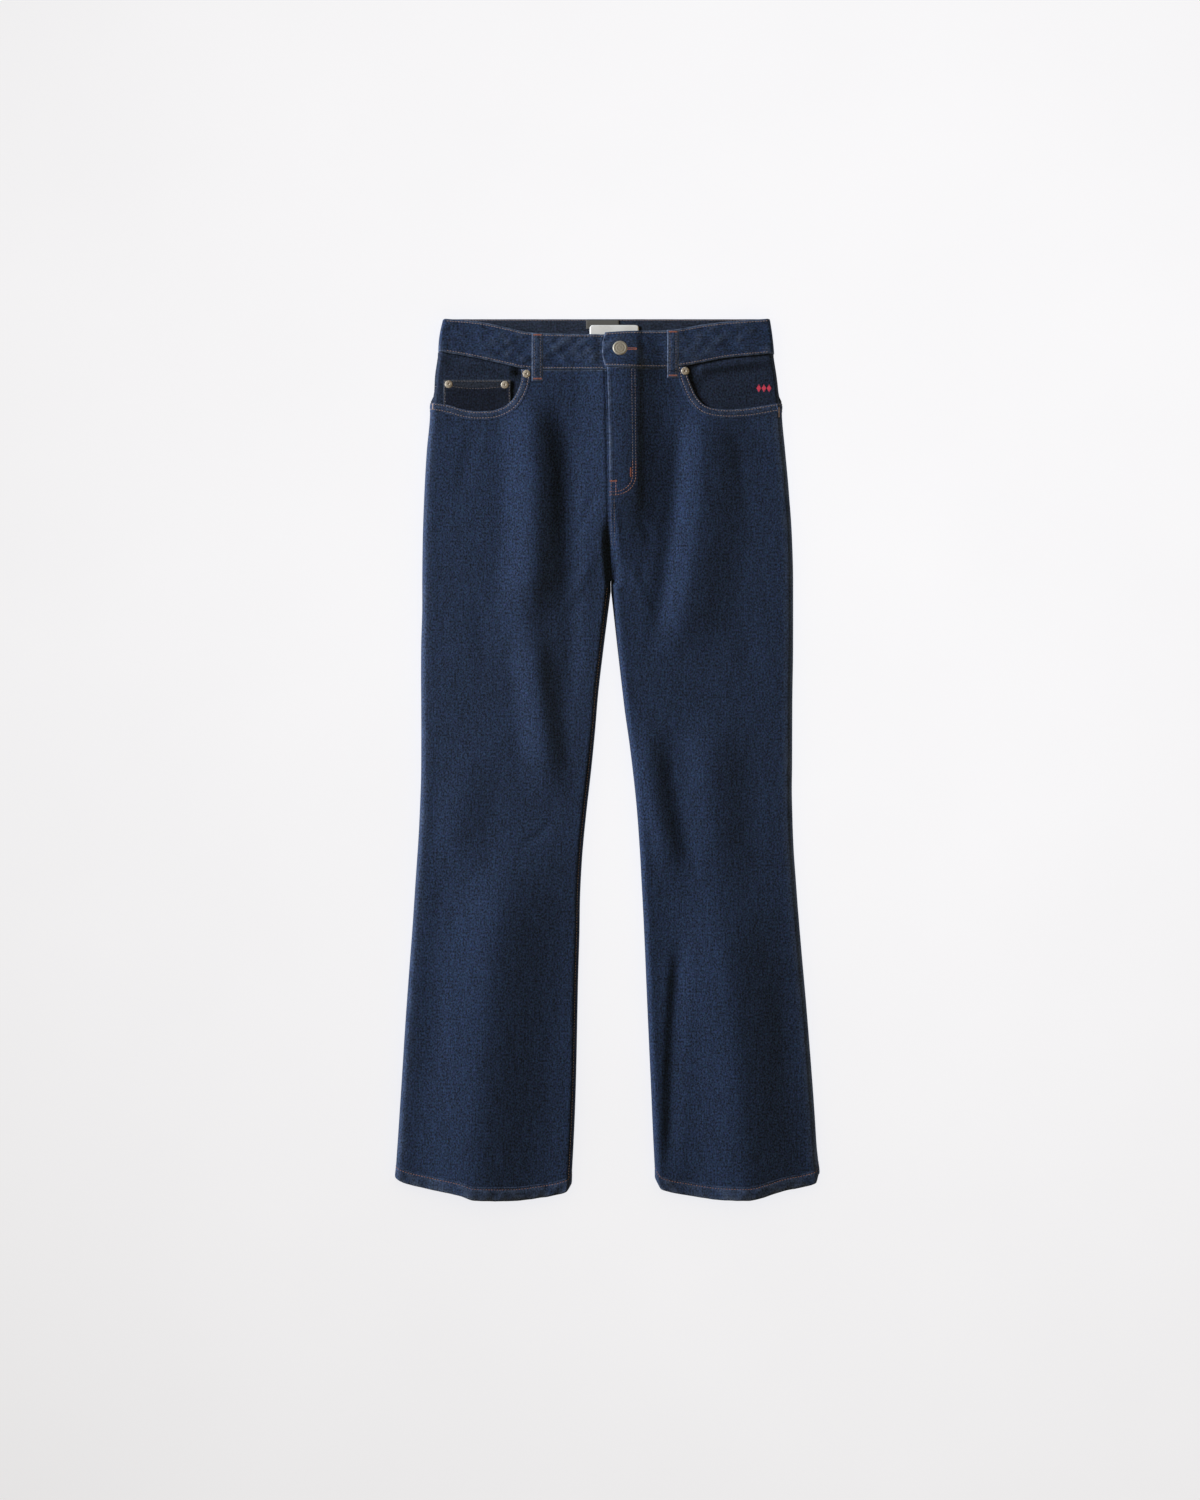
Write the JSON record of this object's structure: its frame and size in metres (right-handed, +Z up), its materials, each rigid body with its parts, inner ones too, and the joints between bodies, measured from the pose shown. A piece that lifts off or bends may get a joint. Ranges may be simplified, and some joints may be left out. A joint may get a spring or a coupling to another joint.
{
  "type": "bootcut jeans",
  "caption": "Full-length bootcut denim trousers laid flat with the front up: flared open legs, closed fly, curved front pocket mouths, belt loops and back patch pockets.",
  "frame": {"origin": "centre of the footprint, on the surface the jeans lie on", "axes": "+X to the wearer's left, +Y from the hems to the waist, +Z up from the surface; the front faces +Z"},
  "size_m": [0.4776, 0.9974, 0.0258],
  "materials": {
    "denim": "dark indigo right-hand twill, dry and matt",
    "denim_inside": "reverse of the denim, slightly paler and greyer",
    "thread": "rust-brown cotton topstitching",
    "bar_tack_thread": "orange-red bar tacks",
    "mark_thread": "red satin stitch",
    "label": "blank white woven satin",
    "zip_tape": "dark woven tape",
    "button_metal": "antiqued grey brass, satin",
    "rivet_metal": "antiqued dark brass, satin"
  },
  "bodies": {
    "root": {"front_right": "denim", "front_left": "denim", "back_right": "denim", "back_left": "denim", "yoke_right": "denim", "yoke_left": "denim", "waistband_right": "denim", "waistband_left": "denim", "waistband_back": "denim_inside", "facing_right": "denim", "facing_left": "denim", "coin_pocket": "denim", "back_pocket_right": "denim", "back_pocket_left": "denim", "fly_shield": "denim", "zip": "zip_tape", "loop_front_right": "denim", "loop_front_left": "denim", "loop_back_right": "denim", "loop_back_centre": "denim", "loop_back_left": "denim", "hem_right": "denim_inside", "hem_left": "denim_inside", "label": "label", "button": "button_metal", "rivet_1": "rivet_metal", "rivet_2": "rivet_metal", "rivet_3": "rivet_metal", "rivet_4": "rivet_metal"}
  },
  "joints": []
}
